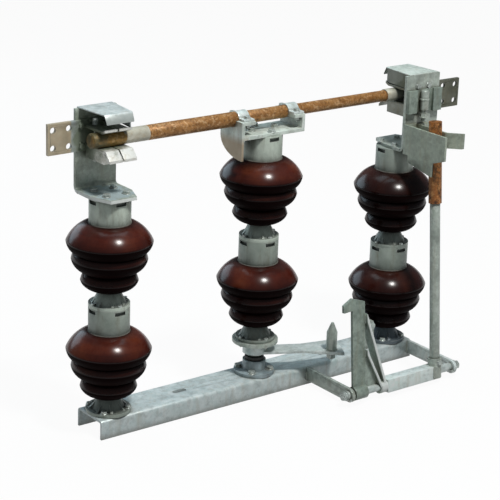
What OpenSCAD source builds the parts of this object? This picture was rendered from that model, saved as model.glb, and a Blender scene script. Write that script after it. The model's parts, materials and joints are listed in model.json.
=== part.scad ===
// One pole of a centre-rotating, double-break disconnect switch with an earthing switch.
// Three stacks of porcelain post insulators stand on a folded steel channel. The middle
// stack turns on a bearing and carries the copper blade. The outer stacks carry the jaws.
// Millimetres, +Z up, +X along the channel, origin on the channel's top at the rotor axis.

/* [Base channel] */
// Length of the channel
channel_l = 934; // [860:1:1040]
// Width over the flanges
channel_w = 100; // [90:1:120]
// Height from the toes to the top
channel_h = 46; // [44:1:60]
// Thickness of the folded plate
channel_t = 6; // [4:0.5:8]
// Outer radius of the two folds
channel_bend_r = 9; // [8.5:0.5:14]
// Distance between the two mounting slots
slot_spacing = 440; // [380:1:480]
// End to end length of a mounting slot
slot_l = 38; // [24:1:60]
// Width of a mounting slot
slot_w = 14; // [10:1:20]

/* [Post insulators] */
// Distance from the rotor axis to an outer stack
post_spacing = 417; // [390:1:430]
// Height of one insulator unit
unit_h = 254; // [230:1:290]
// Radius of the bolted foot of the lowest outer units
foot_r = 52; // [46:1:60]
// Radius of the foot of the other units
flange_r = 47; // [42:1:56]
// Thickness of a foot flange
flange_t = 8; // [6:1:12]
// Radius at the root of the bell over the foot
bell_r = 38; // [30:1:40]
// Radius of the neck under the porcelain
neck_r = 24; // [18:1:28]
// Height of the neck's top over the foot's underside
neck_h = 37; // [30:1:42]
// Thickness of the ribs on the bell
rib_t = 6; // [4:1:9]
// Rim radius of the top shed, the widest
shed_top_r = 97; // [90:1:105]
// Rim radius of the middle shed
shed_mid_r = 85.5; // [80:0.5:89]
// Rim radius of the lowest shed
shed_low_r = 65; // [58:1:72]
// Radius of the waist between the top and middle sheds
waist_top_r = 77; // [70:1:79]
// Radius of the waist between the middle and lowest sheds
waist_low_r = 52; // [44:1:57]
// Radius of the metal cap
cap_r = 47; // [42:1:54]
// Height of the metal cap
cap_h = 59; // [48:1:70]
// Width of the pockets in the cap
pocket_w = 27; // [16:1:34]
// Height of the pockets in the cap
pocket_h = 9; // [5:1:14]
// Depth of the pockets in the cap
pocket_d = 9; // [4:1:14]

/* [Rotor] */
// Height of the turning stack's foot over the channel
rotor_rise = 88; // [80:1:110]
// Radius of the round rotor plate
rotor_plate_r = 55; // [50:1:70]
// Thickness of the rotor plate
rotor_plate_t = 8; // [6:1:12]
// Radius of the rotor shaft
shaft_r = 16; // [13:0.5:20]
// Radius of the bearing housing
bearing_r = 28; // [25:1:36]
// Height of the bearing housing
bearing_h = 34; // [30:1:40]
// Radius of the bearing's foot
bearing_foot_r = 49; // [44:1:50]
// Thickness of the bearing's foot
bearing_foot_t = 9; // [6:1:12]
// Thickness of the bearing's floor under the shaft
bearing_floor = 6; // [4:1:10]
// Radius of the black seal ring
seal_r = 23; // [21:0.5:26]
// Thickness of the seal ring
seal_t = 9; // [5:1:11]
// Height of the drive lever's underside over the channel
lever_z = 51; // [46:1:54]
// Thickness of the drive lever
lever_t = 7; // [6:1:12]
// Width of the drive lever at its hub
lever_w = 46; // [34:1:54]
// Width of the drive lever's fan-shaped end
lever_end_w = 92; // [60:1:110]
// Reach of the drive lever from the rotor axis
lever_reach = 212; // [190:1:230]
// Direction of the drive lever, seen from above, in degrees
lever_deg = -27; // [-35:1:-15]
// Radius of the drive lever's hub
hub_r = 29; // [26:1:36]
// Radius of the pointed drive pin
pin_r = 13; // [9:0.5:16]
// Height of the drive pin over the lever
pin_h = 70; // [60:1:100]
// Length of the pin's point
pin_tip = 24; // [12:1:36]
// Distance of the drive pin from the rotor axis
pin_reach = 184; // [176:1:186]
// Offset of the drive pin from the lever's middle line toward the front
pin_side = 23; // [0:1:24]

/* [Main blade] */
// Height of the blade's axis over the turning stack
blade_rise = 42; // [38:1:56]
// Reach of the blade's ends past the outer stacks
blade_past = 53; // [46:1:60]
// Radius of the thick tube
thick_r = 17; // [16:0.5:19]
// Radius of the thin tube
thin_r = 13.5; // [12:0.5:14.5]
// Radius of the thin tube's middle, between the straps
collar_r = 15; // [14.5:0.5:16]
// Wall of the copper tubes
tube_wall = 4; // [2:0.5:6]
// Radius of the tinned sleeve on the thin tube
sleeve_r = 16; // [15:0.5:18]
// Length of the tinned tip on the thick tube
thick_tip_l = 146; // [120:1:180]
// Length of the tinned sleeve on the thin tube
sleeve_l = 100; // [85:1:140]
// Length of the cradle under the blade
cradle_l = 182; // [160:1:204]
// Width of the cradle
cradle_w = 82; // [70:1:94]
// Thickness of the cradle's plate
cradle_t = 8; // [5:1:10]
// Width of the straps over the blade
strap_w = 30; // [20:1:32]
// Thickness of the straps
strap_t = 5; // [3:0.5:7]
// Length of a strap's flat ears
strap_ear = 18; // [12:1:20]
// Depth of the rounded skirt under the cradle's left end
skirt_h = 48; // [30:1:54]
// Thickness of the skirt
skirt_t = 6; // [4:0.5:8]

/* [Contacts] */
// Width of a contact bracket
bracket_w = 106; // [96:1:112]
// Thickness of a contact bracket
bracket_t = 8; // [5:0.5:10]
// Distance of the bracket's outer face from the post axis
bracket_y = 66; // [58:1:72]
// Reach of the bracket's foot past the post axis
foot_reach = 56; // [48:1:64]
// Outer radius of the bracket's fold
bracket_bend_r = 16; // [11:0.5:18]
// Width lost at the tapered corners of the bracket's foot
foot_chamfer = 20; // [8:1:30]
// Length of the tapered corners of the bracket's foot
foot_taper = 50; // [30:1:58]
// Offset of the right-hand bracket along the channel
right_shift = 18; // [0:1:20]
// Width of the hood over a jaw, at its bracket
hood_w = 90; // [80:1:96]
// Width of the hood at its front
hood_front_w = 70; // [64:1:80]
// Thickness of the hood's sheet
hood_t = 3; // [2:0.5:5]
// Height of the hood's underside over the blade's axis
hood_rise = 59; // [54:1:70]
// Reach of the hood past the post axis
hood_reach = 30; // [24:1:44]
// Length of the hood's sloping lip
hood_lip = 20; // [12:1:32]
// Slope of the hood's lip in degrees
hood_lip_deg = 62; // [40:1:80]
// Clearance of the hood's side wall over the upper fingers
hood_clear = 2; // [1:0.5:8]
// Width of one contact finger
finger_w = 33; // [26:1:33]
// Gap between the two fingers of a pair
finger_gap = 4; // [3:0.5:5]
// Thickness of a finger
finger_t = 6; // [4:0.5:8]
// Thickness of the backing bar under the lower fingers
backing_t = 26; // [8:1:30]
// Reach of the backing bar past the post axis
backing_reach = 24; // [10:1:28]
// Reach of a lower finger's straight part past the post axis
finger_reach = 34; // [30:1:46]
// Length of a lower finger's flared end
finger_flare = 25; // [18:1:32]
// Reach of an upper finger's straight part past the post axis
upper_reach = 20; // [12:1:24]
// Length of an upper finger's flared end
upper_flare = 12; // [6:1:14]
// Slope of the lower fingers' flared ends in degrees
finger_deg = 46; // [30:1:50]
// Slope of the upper fingers' flared ends in degrees
upper_deg = 24; // [10:1:30]
// Running clearance between the blade and the fingers
contact_clear = 0.6; // [0.4:0.1:1.5]
// Height of a terminal pad
pad_h = 70; // [66:1:74]
// Length of a terminal pad beyond its bracket
pad_l = 74; // [68:1:90]
// Thickness of a terminal pad
pad_t = 8; // [6:0.5:12]
// Hole pitch of a terminal pad
pad_pitch = 40; // [38:0.5:44]
// Distance of the outer holes from the pad's end
pad_margin = 13; // [10:0.5:16]
// Radius of a terminal hole
pad_hole_r = 7; // [5:0.5:8]

/* [Earthing switch] */
// Distance of the earthing shaft in front of the rotor axis
earth_y = 207; // [195:1:225]
// Height of the arms that carry the earthing shaft
arm_h = 34; // [32:1:35]
// Thickness of the arms
arm_t = 8; // [5:0.5:9]
// Reach of an arm past the shaft's axis
arm_nose = 19; // [18:1:30]
// Place of the left arm along the channel
arm_left_x = 128; // [115:1:129]
// Place of the right arm along the channel
arm_right_x = 458; // [440:1:462]
// Radius of the earthing shaft
rod_r = 10.5; // [8:0.5:12]
// Length of the shaft's ends outside the arms
rod_end = 10; // [6:1:20]
// Lean of the closed earthing blade toward its contact, in degrees
earth_lean = 5.4; // [2:0.2:6]
// Side of the square torque bar
torque_a = 32; // [28:1:38]
// Place of the torque bar's left end along the channel
torque_x = 238; // [236:1:246]
// Clearance between the hooked lever and the left arm
side_clear = 6; // [5:0.5:8]
// Place of the earthing blade along the channel
earth_x = 404; // [402:1:414]
// Wall of the round socket at the blade's foot
socket_wall = 4; // [3:0.5:6]
// Height of the socket over the shaft's axis
socket_h = 34; // [28:1:60]
// Radius of the galvanised lower tube
earth_tube_r = 12.5; // [10:0.5:13]
// Wall of the galvanised lower tube
earth_wall = 3; // [2:0.5:5]
// Length of the copper tube on top
copper_l = 198; // [160:1:240]
// Radius of the copper tube
copper_r = 16; // [13.5:0.5:17]
// Width of the hooked lever
hook_w = 38; // [30:1:39]
// Thickness of the hooked lever
hook_t = 8; // [5:0.5:12]
// Thickness of the brace's two legs
brace_t = 6; // [4:0.5:8]
// Depth of the brace's legs
brace_d = 28; // [20:1:32]
// Height of the hooked lever over the shaft's axis
hook_h = 236; // [200:1:260]
// Length of the hook's nose
nose_l = 26; // [14:1:30]
// Height of the hook's nose
nose_h = 30; // [20:1:40]
// Radius of the lever's hub on the shaft
lever_hub_r = 17; // [15:0.5:20]
// Height of the earthing contact's middle over the outer stacks
contact_rise = 35; // [30:1:40]
// Height of the contact's middle under the copper tube's top
contact_drop = 60; // [50:1:80]
// Height of the left earthing finger
earth_finger_h = 73; // [56:1:76]
// Depth of the tab under the left finger
earth_tab_h = 34; // [20:1:40]
// Width of the tab under the left finger
earth_tab_w = 84; // [60:1:88]
// Length of the left finger's tapered front
earth_front = 42; // [30:1:48]
// Height of the right earthing finger
earth_guide_h = 38; // [30:1:44]
// Height of the right finger's middle over the contact's middle
earth_guide_rise = 15; // [6:1:16]
// Thickness of the earthing fingers
earth_finger_t = 6; // [4:0.5:8]
// Reach of the fingers' straight parts past the blade's axis
earth_finger_reach = 14; // [10:1:30]
// Length of the right finger's flared end
earth_flare = 30; // [16:1:34]
// Width of the fingers' feet on the bracket
earth_finger_foot = 28; // [18:1:32]
// Height of the ribbed block's middle under the main blade's axis
block_drop = 4; // [2:1:8]
// Height of the ribbed block
block_h = 56; // [48:1:60]
// Thickness of the ribbed block's plate
block_t = 5; // [4:0.5:8]
// Width of the block's two ribs
block_rib_w = 27; // [20:1:32]
// Height of the block's two ribs
block_rib_h = 7; // [4:1:12]

/* [Earthing lug] */
// Gap between the lug and the rim of the right-hand stack's lowest shed
lug_gap = 3; // [2:0.5:10]
// Distance of the lug's face in front of the channel's middle
lug_y = 38; // [20:1:40]
// Width of the lug
lug_w = 28; // [22:1:30]
// Height of the lug over the channel
lug_h = 75; // [60:1:85]
// Thickness of the lug's plate
lug_t = 8; // [5:0.5:10]
// Length of the lug's foot
lug_foot = 32; // [26:1:36]
// Radius of the hole in the lug's eye
lug_hole_r = 6.5; // [5:0.5:8]

/* [Hidden] */

// Facets for turned shapes, and the overrun of every cut
$fn = 64;
cut = 1;
// Radial clearance of a shaft in its bore, and of clamped tubes in their seats
run_clear = 0.05;
seat_clear = 0.1;
// Gap under the rotor shaft's end
shaft_gap = 0.3;

// Heights of the shed rims and waists, as shares of the unit's height
rim_low_share = 0.240;
waist_low_share = 0.323;
rim_mid_share = 0.437;
waist_top_share = 0.504;
rim_top_share = 0.601;
// Radius where the porcelain meets the cap, as a share of the cap's radius
crown_share = 0.96;
// How far the sheds bulge from a straight cone toward a full ellipse
under_bulge_share = 0.85;
upper_bulge_share = 0.65;
// Points along each side of a shed, and along the rounded skirt
shed_steps = 9;
// Ribs on a bell and pockets in a cap
rib_count = 8;
pocket_count = 4;
// Depth of a rib's root in the flange, as a share of the flange, and its top, as a share of the bell
rib_root_share = 0.5;
rib_top_share = 0.8;
// Land over the pockets, as a share of a pocket's height
pocket_land_share = 0.35;
// Where the drive lever begins to widen, as a share of its reach
lever_neck_share = 0.55;
// Flat of the drive pin's tip, as a share of its radius
pin_flat_share = 0.25;
// Edge chamfer of the blade's tips, as a share of their radius
tip_chamfer_share = 0.2;
// Where the brace meets the hooked lever, as shares of the lever's height
brace_low_share = 0.44;
brace_high_share = 0.82;
// Width of the brace's lower end, as a share of the lever's width
brace_end_share = 0.5;
// Thickness of the brace's web, as a share of the lever's
web_share = 0.75;
// Drop of the hook's underside and the slope of its top, as shares of the nose's height
nose_drop_share = 0.55;
nose_slope_share = 0.45;
// Sideways flare of the right earthing finger, as a share of the flare's length
right_flare_share = 1;
// Taper of the left earthing finger's front, and of its tab, as shares of their heights
front_taper_share = 0.2;
tab_taper_share = 0.5;

stack_h = 2 * unit_h;
porcelain_top = unit_h - cap_h;
turning_top = rotor_rise + stack_h;
blade_z = turning_top + blade_rise;
blade_reach = post_spacing + blade_past;
left_x = -post_spacing;
right_x = post_spacing + right_shift;
hood_z = blade_z + hood_rise;
hood_side_h = hood_rise - max(thick_r, sleeve_r) - contact_clear - finger_t - hood_clear;
plate_in_y = bracket_y - bracket_t;
pad_in_y = plate_in_y - pad_t;
thick_end = -cradle_l / 2 + cradle_t;
strap_left = thick_end + seat_clear;
strap_right = cradle_l / 2 - strap_w;
earth_z = -arm_h / 2;
hook_x = arm_left_x + arm_t / 2 + side_clear;
brace_x = torque_x;
lever_side = hook_x + hook_w;
lug_x = post_spacing - shed_low_r - lug_gap - lug_w / 2;
socket_r = earth_tube_r + seat_clear + socket_wall;
contact_z = stack_h + contact_rise;
contact_h = (contact_z - earth_z) / cos(earth_lean);
contact_y = -earth_y + contact_h * sin(earth_lean);
earth_len = contact_h + contact_drop;
copper_start = earth_len - copper_l;
guide_y = contact_y - earth_finger_reach;

// Outline of one side of a shed, from its inner edge out to the rim
function shed_side(r_in, z_in, r_rim, z_rim, bulge) = [
    for (i = [0 : shed_steps])
        let (
            a = 90 * i / shed_steps,
            round_r = r_in + (r_rim - r_in) * sin(a),
            cone_r = r_in + (r_rim - r_in) * (1 - cos(a))
        )
        [bulge * round_r + (1 - bulge) * cone_r, z_rim - (z_rim - z_in) * cos(a)]
];

// The same list from its end to its start, without the shared first point
function back_down(side) = [for (i = [len(side) - 2 : -1 : 0]) side[i]];

// Plate in the XZ plane, centred on the plane y = 0
module upright(t) {
    rotate([90, 0, 0]) linear_extrude(t, center = true) children();
}

// Rod along +X that starts at the given place
module rod_x(r, from_x, to_x) {
    translate([from_x, 0, 0]) rotate([0, 90, 0]) cylinder(r = r, h = to_x - from_x);
}

module base_channel() {
    inner_w = channel_w - 2 * channel_t;
    inner_r = channel_bend_r - channel_t;
    color("lightgray") difference() {
        channel_bar(channel_w, channel_h, channel_bend_r, channel_l);
        translate([0, 0, -channel_t])
            channel_bar(inner_w, channel_h, inner_r, channel_l + 2 * cut);
        for (side = [-1, 1])
            translate([side * slot_spacing / 2, 0, -channel_t - cut]) slot(channel_t + 2 * cut);
    }
}

// Solid bar with two rounded upper edges, its top at z = 0
module channel_bar(w, h, r, l) {
    rotate([90, 0, 90]) linear_extrude(l, center = true) {
        translate([-w / 2, -h]) square([w, h - r]);
        translate([-w / 2 + r, -h]) square([w - 2 * r, h]);
        for (side = [-1, 1])
            translate([side * (w / 2 - r), -r]) circle(r);
    }
}

// Cutter for a mounting slot along X
module slot(h) {
    straight = slot_l - slot_w;
    linear_extrude(h) {
        square([straight, slot_w], center = true);
        for (side = [-1, 1])
            translate([side * straight / 2, 0]) circle(slot_w / 2);
    }
}

// Foot with its ribbed bell, and the cap, of one insulator unit
module fittings(r_foot) {
    color("darkgray") {
        bell_foot(r_foot);
        translate([0, 0, porcelain_top]) cap();
    }
}

module bell_foot(r_foot) {
    bell_h = neck_h - flange_t;
    cylinder(r = r_foot, h = flange_t);
    translate([0, 0, flange_t]) cylinder(r1 = bell_r, r2 = neck_r, h = bell_h);
    for (i = [0 : rib_count - 1])
        rotate([0, 0, (i + 1 / 2) * 360 / rib_count])
            upright(rib_t)
                polygon([
                    [0, flange_t * rib_root_share],
                    [r_foot - rib_t / 2, flange_t * rib_root_share],
                    [neck_r, flange_t + bell_h * rib_top_share],
                    [0, flange_t + bell_h * rib_top_share]
                ]);
}

module cap() {
    difference() {
        cylinder(r = cap_r, h = cap_h);
        for (i = [0 : pocket_count - 1])
            rotate([0, 0, i * 360 / pocket_count])
                translate([
                    cap_r - pocket_d,
                    -pocket_w / 2,
                    cap_h - pocket_h * (1 + pocket_land_share)
                ])
                    cube([pocket_d + cut, pocket_w, pocket_h]);
    }
}

// The three sheds of one unit, turned from one outline
module porcelain() {
    rim_low = unit_h * rim_low_share;
    waist_low = unit_h * waist_low_share;
    rim_mid = unit_h * rim_mid_share;
    waist_top = unit_h * waist_top_share;
    rim_top = unit_h * rim_top_share;
    crown_r = cap_r * crown_share;
    low_under = shed_side(neck_r, neck_h, shed_low_r, rim_low, under_bulge_share);
    low_upper = shed_side(waist_low_r, waist_low, shed_low_r, rim_low, upper_bulge_share);
    mid_under = shed_side(waist_low_r, waist_low, shed_mid_r, rim_mid, under_bulge_share);
    mid_upper = shed_side(waist_top_r, waist_top, shed_mid_r, rim_mid, upper_bulge_share);
    top_under = shed_side(waist_top_r, waist_top, shed_top_r, rim_top, under_bulge_share);
    top_upper = shed_side(crown_r, porcelain_top, shed_top_r, rim_top, upper_bulge_share);
    color("saddlebrown") rotate_extrude()
        polygon(concat(
            [[0, neck_h]],
            low_under, back_down(low_upper),
            [for (i = [1 : shed_steps]) mid_under[i]], back_down(mid_upper),
            [for (i = [1 : shed_steps]) top_under[i]], back_down(top_upper),
            [[0, porcelain_top]]
        ));
}

module rotor_bearing() {
    color("gainsboro") difference() {
        union() {
            cylinder(r = bearing_foot_r, h = bearing_foot_t);
            cylinder(r = bearing_r, h = bearing_h);
        }
        translate([0, 0, bearing_floor]) cylinder(r = shaft_r + run_clear, h = bearing_h);
    }
}

module shaft_seal() {
    color("black") translate([0, 0, bearing_h]) difference() {
        cylinder(r = seal_r, h = seal_t);
        translate([0, 0, -cut]) cylinder(r = shaft_r + run_clear, h = seal_t + 2 * cut);
    }
}

// Shaft that stands in the bearing, with the round plate under the turning stack
module rotor_shaft() {
    shaft_foot = bearing_floor + shaft_gap;
    color("silver") {
        translate([0, 0, shaft_foot]) cylinder(r = shaft_r, h = rotor_rise - shaft_foot);
        translate([0, 0, rotor_rise - rotor_plate_t])
            cylinder(r = rotor_plate_r, h = rotor_plate_t);
    }
}

// Fan-shaped lever keyed on the rotor shaft
module drive_lever() {
    neck = lever_reach * lever_neck_share;
    hub_h = rotor_rise - rotor_plate_t - lever_z;
    color("lightgray") rotate([0, 0, lever_deg]) translate([0, 0, lever_z]) difference() {
        union() {
            cylinder(r = hub_r, h = hub_h);
            linear_extrude(lever_t)
                polygon([
                    [0, -lever_w / 2],
                    [neck, -lever_w / 2],
                    [lever_reach, -lever_end_w / 2],
                    [lever_reach, lever_end_w / 2],
                    [neck, lever_w / 2],
                    [0, lever_w / 2]
                ]);
        }
        translate([0, 0, -cut]) cylinder(r = shaft_r + run_clear, h = hub_h + 2 * cut);
    }
}

module drive_pin() {
    color("darkgray") rotate([0, 0, lever_deg])
        translate([pin_reach, -pin_side, lever_z + lever_t]) {
            cylinder(r = pin_r, h = pin_h - pin_tip);
            translate([0, 0, pin_h - pin_tip])
                cylinder(r1 = pin_r, r2 = pin_r * pin_flat_share, h = pin_tip);
        }
}

// Tray on the turning stack, with folded ends that carry the blade and a rounded skirt on the left
module blade_cradle() {
    flange_z = blade_rise - cradle_t;
    color("silver") translate([0, 0, turning_top]) {
        difference() {
            union() {
                translate([-cradle_l / 2, -cradle_w / 2, 0]) cube([cradle_l, cradle_w, cradle_t]);
                for (side = [-1, 1])
                    translate([side * (cradle_l - cradle_t) / 2 - cradle_t / 2, -cradle_w / 2, 0])
                        cube([cradle_t, cradle_w, blade_rise]);
                translate([-cradle_l / 2, -cradle_w / 2, flange_z])
                    cube([cradle_l / 2 + strap_left + strap_w, cradle_w, cradle_t]);
                translate([strap_right, -cradle_w / 2, flange_z])
                    cube([strap_w, cradle_w, cradle_t]);
            }
            translate([0, 0, blade_rise]) {
                rod_x(thin_r + seat_clear, -cradle_l / 2 - cut, cradle_l / 2 + cut);
                rod_x(thick_r + seat_clear, -cradle_l / 2 - cut, thick_end + seat_clear);
            }
        }
        translate([-cradle_l / 2, 0, 0]) skirt();
    }
}

// Quarter-oval plate that hangs under the cradle's left end, deepest at the front
module skirt() {
    rotate([90, 0, 90]) linear_extrude(skirt_t)
        polygon(concat(
            [[-cradle_w / 2, cradle_t / 2], [-cradle_w / 2, -skirt_h]],
            [
                for (i = [1 : shed_steps - 1])
                    let (a = 90 * i / shed_steps)
                    [cradle_w * (sin(a) - 1 / 2), -skirt_h * cos(a)]
            ],
            [[cradle_w / 2, 0], [cradle_w / 2, cradle_t / 2]]
        ));
}

// Half-round straps that hold the blade down on the cradle's ends
module blade_straps() {
    outer_r = thin_r + seat_clear + strap_t;
    ear_y = outer_r + strap_ear;
    color("silver")
        for (from_x = [strap_left, strap_right])
            translate([from_x, 0, blade_z]) intersection() {
                difference() {
                    union() {
                        rod_x(outer_r, 0, strap_w);
                        translate([0, -ear_y, 0]) cube([strap_w, 2 * ear_y, strap_t]);
                    }
                    rod_x(thin_r + seat_clear, -cut, strap_w + cut);
                }
                translate([0, -ear_y, 0]) cube([strap_w, 2 * ear_y, outer_r]);
            }
}

module blade_thick_tube() {
    from_x = -blade_reach + thick_tip_l;
    color("peru") translate([0, 0, blade_z]) difference() {
        rod_x(thick_r, from_x, thick_end);
        rod_x(thick_r - tube_wall, from_x - cut, thick_end + cut);
    }
}

// Thin tube from the thick tube's end to the sleeve, a little thicker between the straps
module blade_thin_tube() {
    to_x = blade_reach - sleeve_l;
    color("peru") translate([0, 0, blade_z]) difference() {
        union() {
            rod_x(thin_r, thick_end, to_x);
            rod_x(collar_r, strap_left + strap_w + seat_clear, strap_right - seat_clear);
        }
        rod_x(thin_r - tube_wall, thick_end - cut, to_x + cut);
    }
}

// Tinned ends of the blade, with closed and chamfered noses
module blade_tips() {
    color("lightgray") {
        rotate([0, 0, 180]) blade_tip(thick_r, blade_reach - thick_tip_l);
        blade_tip(sleeve_r, blade_reach - sleeve_l);
    }
}

module blade_tip(r, from_x) {
    nose = r * tip_chamfer_share;
    translate([0, 0, blade_z]) difference() {
        union() {
            rod_x(r, from_x, blade_reach - nose);
            translate([blade_reach - nose, 0, 0]) rotate([0, 90, 0])
                cylinder(r1 = r, r2 = r - nose, h = nose);
        }
        rod_x(r - tube_wall, from_x - cut, blade_reach - nose - tube_wall);
    }
}

// Places a contact set: on the left as drawn, on the right turned half round
module at_left() {
    translate([left_x, 0, 0]) children();
}

module at_right() {
    translate([right_x, 0, 0]) rotate([0, 0, 180]) children();
}

// L-shaped bracket folded from plate: a tapered foot on the stack and a tall plate behind the jaw
module bracket() {
    color("silver") translate([0, 0, stack_h]) intersection() {
        difference() {
            bracket_fold(0, bracket_bend_r);
            bracket_fold(bracket_t, bracket_bend_r - bracket_t);
        }
        linear_extrude(hood_z - stack_h)
            polygon([
                [-bracket_w / 2, bracket_y],
                [-bracket_w / 2, foot_taper - foot_reach],
                [foot_chamfer - bracket_w / 2, -foot_reach],
                [bracket_w / 2 - foot_chamfer, -foot_reach],
                [bracket_w / 2, foot_taper - foot_reach],
                [bracket_w / 2, bracket_y]
            ]);
    }
}

// Solid under the fold's outer or inner surface, with one rounded edge along X
module bracket_fold(inset, r) {
    rise = hood_z - stack_h;
    far_y = bracket_y - inset;
    near_y = -foot_reach - cut;
    rotate([90, 0, 90]) linear_extrude(bracket_w + 2 * (cut + inset), center = true) {
        translate([near_y, inset]) square([far_y - r - near_y, rise + cut]);
        translate([near_y, inset + r]) square([far_y - near_y, rise + cut]);
        translate([far_y - r, inset + r]) circle(r);
    }
}

// Folded rain hood: a roof and a sloping lip cut to a tapered plan, and a wall toward the rotor
module hood() {
    lip_y = hood_lip * cos(hood_lip_deg);
    lip_z = hood_lip * sin(hood_lip_deg);
    front_y = -hood_reach - lip_y;
    taper = (hood_w - hood_front_w) / 2 / (bracket_y - front_y);
    wall_y = hood_t - hood_reach;
    wall_x = (hood_w - hood_t) / 2;
    color("whitesmoke") translate([0, 0, hood_z]) {
        intersection() {
            rotate([90, 0, 90]) linear_extrude(hood_w + 2 * cut, center = true)
                polygon([
                    [bracket_y + cut, 0],
                    [bracket_y + cut, hood_t],
                    [-hood_reach, hood_t],
                    [front_y, hood_t - lip_z],
                    [front_y, -lip_z],
                    [-hood_reach, 0]
                ]);
            translate([0, 0, -lip_z - cut]) linear_extrude(lip_z + hood_t + 2 * cut)
                polygon([
                    [-hood_w / 2, bracket_y],
                    [-hood_front_w / 2, front_y - cut],
                    [hood_front_w / 2, front_y - cut],
                    [hood_w / 2, bracket_y]
                ]);
        }
        translate([0, 0, -hood_side_h]) linear_extrude(hood_side_h + hood_t / 2)
            polygon([
                [wall_x - taper * bracket_t - hood_t, plate_in_y],
                [wall_x - taper * (bracket_y - wall_y) - hood_t, wall_y],
                [wall_x - taper * (bracket_y - wall_y), wall_y],
                [wall_x - taper * bracket_t, plate_in_y]
            ]);
    }
}

// Two pairs of flared fingers that grip a blade of the given radius, with a bar under the lower pair
module jaw(grip_r) {
    bar_w = 2 * finger_w + finger_gap - finger_t;
    bar_top = blade_z - grip_r - contact_clear - finger_t;
    color("gray") {
        for (place = [-1, 1])
            translate([place * (finger_w + finger_gap) / 2, 0, blade_z]) {
                translate([0, 0, grip_r + contact_clear]) finger(upper_reach, upper_flare, upper_deg);
                mirror([0, 0, 1]) translate([0, 0, grip_r + contact_clear]) finger(finger_reach, finger_flare, finger_deg);
            }
        translate([-bar_w / 2, -backing_reach, bar_top - backing_t])
            cube([bar_w, backing_reach + pad_in_y, backing_t + finger_t / 2]);
    }
}

// One finger from the terminal's face, with its underside at z = 0 and its end flared up
module finger(reach, flare, flare_deg) {
    out_y = flare * cos(flare_deg);
    out_z = flare * sin(flare_deg);
    rotate([90, 0, 90]) linear_extrude(finger_w, center = true)
        polygon([
            [pad_in_y, 0],
            [pad_in_y, finger_t],
            [-reach, finger_t],
            [-reach - out_y, finger_t + out_z],
            [-reach - out_y, out_z],
            [-reach, 0]
        ]);
}

// Flat bar on the bracket's inner face that carries the fingers and ends in a pad with four holes
module terminal() {
    edge = bracket_w / 2;
    hole_x = -edge - pad_l + pad_margin;
    color("darkkhaki") difference() {
        translate([-edge - pad_l, pad_in_y, blade_z - pad_h / 2])
            cube([edge + pad_l + finger_w + finger_gap / 2, pad_t, pad_h]);
        for (i = [0, 1], k = [-1, 1])
            translate([hole_x + i * pad_pitch, pad_in_y - cut, blade_z + k * pad_pitch / 2])
                rotate([-90, 0, 0]) cylinder(r = pad_hole_r, h = pad_t + 2 * cut);
    }
}

// Plate with two upright ribs across the front of the right-hand bracket
module earth_block() {
    color("silver")
        translate([right_x - bracket_w / 2, -bracket_y - block_t, blade_z - block_drop - block_h / 2]) {
            cube([bracket_w, block_t, block_h]);
            for (rib_x = [0, bracket_w - block_rib_w])
                translate([rib_x, -block_rib_h, 0]) cube([block_rib_w, block_t / 2 + block_rib_h, block_h]);
        }
}

// Upright plate at the blade's left, with a tapered front, a tab and a foot on the bracket
module earth_finger_left() {
    inner_x = earth_x - copper_r - contact_clear;
    top = contact_z + earth_finger_h / 2;
    low = contact_z - earth_finger_h / 2;
    front_y = guide_y - earth_front;
    tab_y = min(guide_y + earth_tab_w, -bracket_y - earth_finger_t);
    color("silver") {
        translate([inner_x - earth_finger_t, 0, 0]) rotate([90, 0, 90]) linear_extrude(earth_finger_t)
            polygon([
                [-bracket_y, top],
                [front_y, top],
                [front_y, low + earth_finger_h * front_taper_share],
                [guide_y, low],
                [guide_y, low - earth_tab_h],
                [tab_y, low - earth_tab_h * (1 - tab_taper_share)],
                [tab_y, low],
                [-bracket_y, low]
            ]);
        translate([inner_x - earth_finger_t, -bracket_y - earth_finger_t, low])
            cube([earth_finger_t + earth_finger_foot, earth_finger_t, earth_finger_h]);
    }
}

// Short guide at the blade's right, flared away from it, with a foot on the bracket
module earth_finger_right() {
    inner = copper_r + contact_clear;
    outer = inner + earth_finger_t;
    spread = earth_flare * right_flare_share;
    color("silver") translate([earth_x, 0, contact_z + earth_guide_rise - earth_guide_h / 2])
        linear_extrude(earth_guide_h)
            polygon([
                [inner, -bracket_y],
                [inner, guide_y],
                [inner + spread, guide_y - earth_flare],
                [outer + spread, guide_y - earth_flare],
                [outer, guide_y],
                [outer, -bracket_y - earth_finger_t],
                [outer + earth_finger_foot, -bracket_y - earth_finger_t],
                [outer + earth_finger_foot, -bracket_y]
            ]);
}

// Flat arm from the channel's front flange, with a round nose bored for the earthing shaft
module earth_arm(x) {
    color("darkgray") translate([x, 0, 0]) rotate([90, 0, 90])
        linear_extrude(arm_t, center = true) difference() {
            union() {
                translate([-earth_y, -arm_h]) square([earth_y - channel_w / 2, arm_h]);
                translate([-earth_y - arm_nose + arm_h / 2, -arm_h])
                    square([arm_nose - arm_h / 2, arm_h]);
                translate([-earth_y - arm_nose + arm_h / 2, earth_z]) circle(arm_h / 2);
            }
            translate([-earth_y, earth_z]) circle(rod_r + run_clear);
        }
}

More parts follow.
